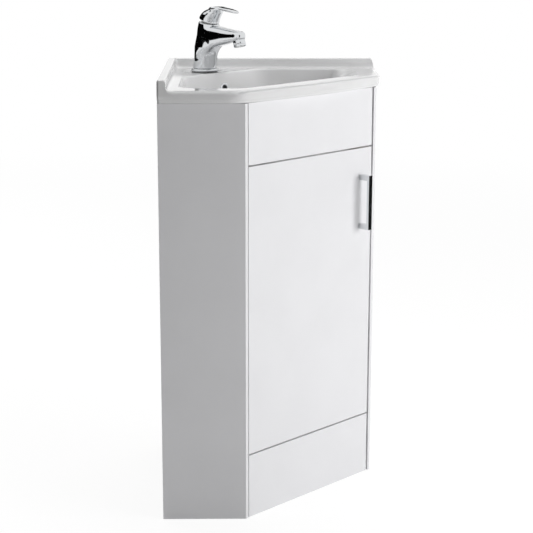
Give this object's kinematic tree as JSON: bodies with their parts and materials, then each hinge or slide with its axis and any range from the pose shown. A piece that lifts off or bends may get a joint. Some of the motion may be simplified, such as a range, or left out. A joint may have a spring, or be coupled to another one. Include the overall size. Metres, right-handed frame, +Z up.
{
  "type": "corner vanity unit",
  "caption": "Five-sided corner bathroom cabinet with one diagonal door, a corner ceramic basin with upstands, a single-lever tap and a click-clack waste.",
  "frame": {"origin": "the corner of the room at floor level, where the unit's two wall sides meet", "axes": "+X along the rear wall to the right, -Y along the left wall, +Z up; the door faces halfway between +X and -Y"},
  "size_m": [0.416, 0.416, 0.9309],
  "materials": {
    "white_fronts": "smooth high-gloss white facing on board, with matching edging",
    "white_board": "white melamine-faced particle board",
    "pine": "planed softwood",
    "ceramic": "white glazed vitreous china",
    "chrome": "polished chrome plate on brass",
    "zinc": "bright zinc-plated steel",
    "rubber": "matt black rubber",
    "white_plastic": "moulded white polypropylene",
    "sealant": "cured white silicone",
    "clear_bumper": "soft translucent polyurethane"
  },
  "bodies": {
    "cabinet": {"left_return_panel": "white_fronts", "right_return_panel": "white_fronts", "base_board": "white_board", "shelf": "white_board", "shelf_pins": "zinc", "left_rail_top": "white_board", "left_rail_low": "white_board", "rear_rail_top": "white_board", "rear_rail_low": "white_board", "corner_post": "pine", "corner_foot": "pine", "fascia_rail": "white_board", "top_fascia": "white_fronts", "plinth_panel": "white_fronts", "front_brackets": "zinc", "bracket_screws": "zinc", "fascia_screws": "zinc", "cam_locks": "zinc", "cam_bolts": "zinc", "door_stops": "pine", "door_bumpers": "clear_bumper", "hinge_arms": "zinc", "hinge_plates": "zinc", "plate_screws": "zinc", "arm_screws": "zinc", "basin": "ceramic", "basin_bowl": "ceramic", "basin_seal": "sealant", "overflow_ring": "chrome", "waste_body": "chrome", "waste_seal_top": "rubber", "waste_seal_low": "rubber", "waste_backnut": "chrome", "trap_inlet_nut": "white_plastic", "trap_inlet_tube": "white_plastic", "trap_body": "white_plastic", "trap_cup": "white_plastic", "trap_outlet_nut": "white_plastic", "tap_body": "chrome", "tap_gasket": "rubber", "tap_cartridge": "white_plastic", "cartridge_nut": "zinc", "aerator_shell": "chrome", "aerator_insert": "white_plastic", "tap_stud": "zinc", "stud_washer": "rubber", "stud_plate": "zinc", "stud_nut": "zinc"},
    "door_leaf": {"door": "white_fronts", "door_handle": "chrome", "handle_screws": "zinc", "hinge_housings": "zinc", "hinge_pins": "zinc", "housing_screws": "zinc"},
    "tap_swivel": {"cartridge_turret": "white_plastic", "turret_pin": "zinc"},
    "tap_handle": {"lever_stem": "zinc", "tap_lever": "chrome", "lever_screw": "rubber"},
    "plug": {"waste_plug": "chrome"}
  },
  "joints": [
    {"name": "door_swing", "type": "hinge", "parent": "cabinet", "child": "door_leaf", "pos_m": [0.16172, -0.38331, 0.3955], "axis": [0, 0, -1], "range_deg": [0, 95]},
    {"name": "lever_turn", "type": "hinge", "parent": "cabinet", "child": "tap_swivel", "pos_m": [0.0853, -0.0853, 0.90005], "axis": [0.0984, -0.0984, 0.9903], "range_deg": [-50, 50]},
    {"name": "lever_lift", "type": "hinge", "parent": "tap_swivel", "child": "tap_handle", "pos_m": [0.0853, -0.0853, 0.90005], "axis": [-0.7071, -0.7071, 0], "range_deg": [0, 18]},
    {"name": "plug_slide", "type": "slide", "parent": "cabinet", "child": "plug", "axis": [0, 0, 1], "range_m": [0, 0.008]}
  ]
}
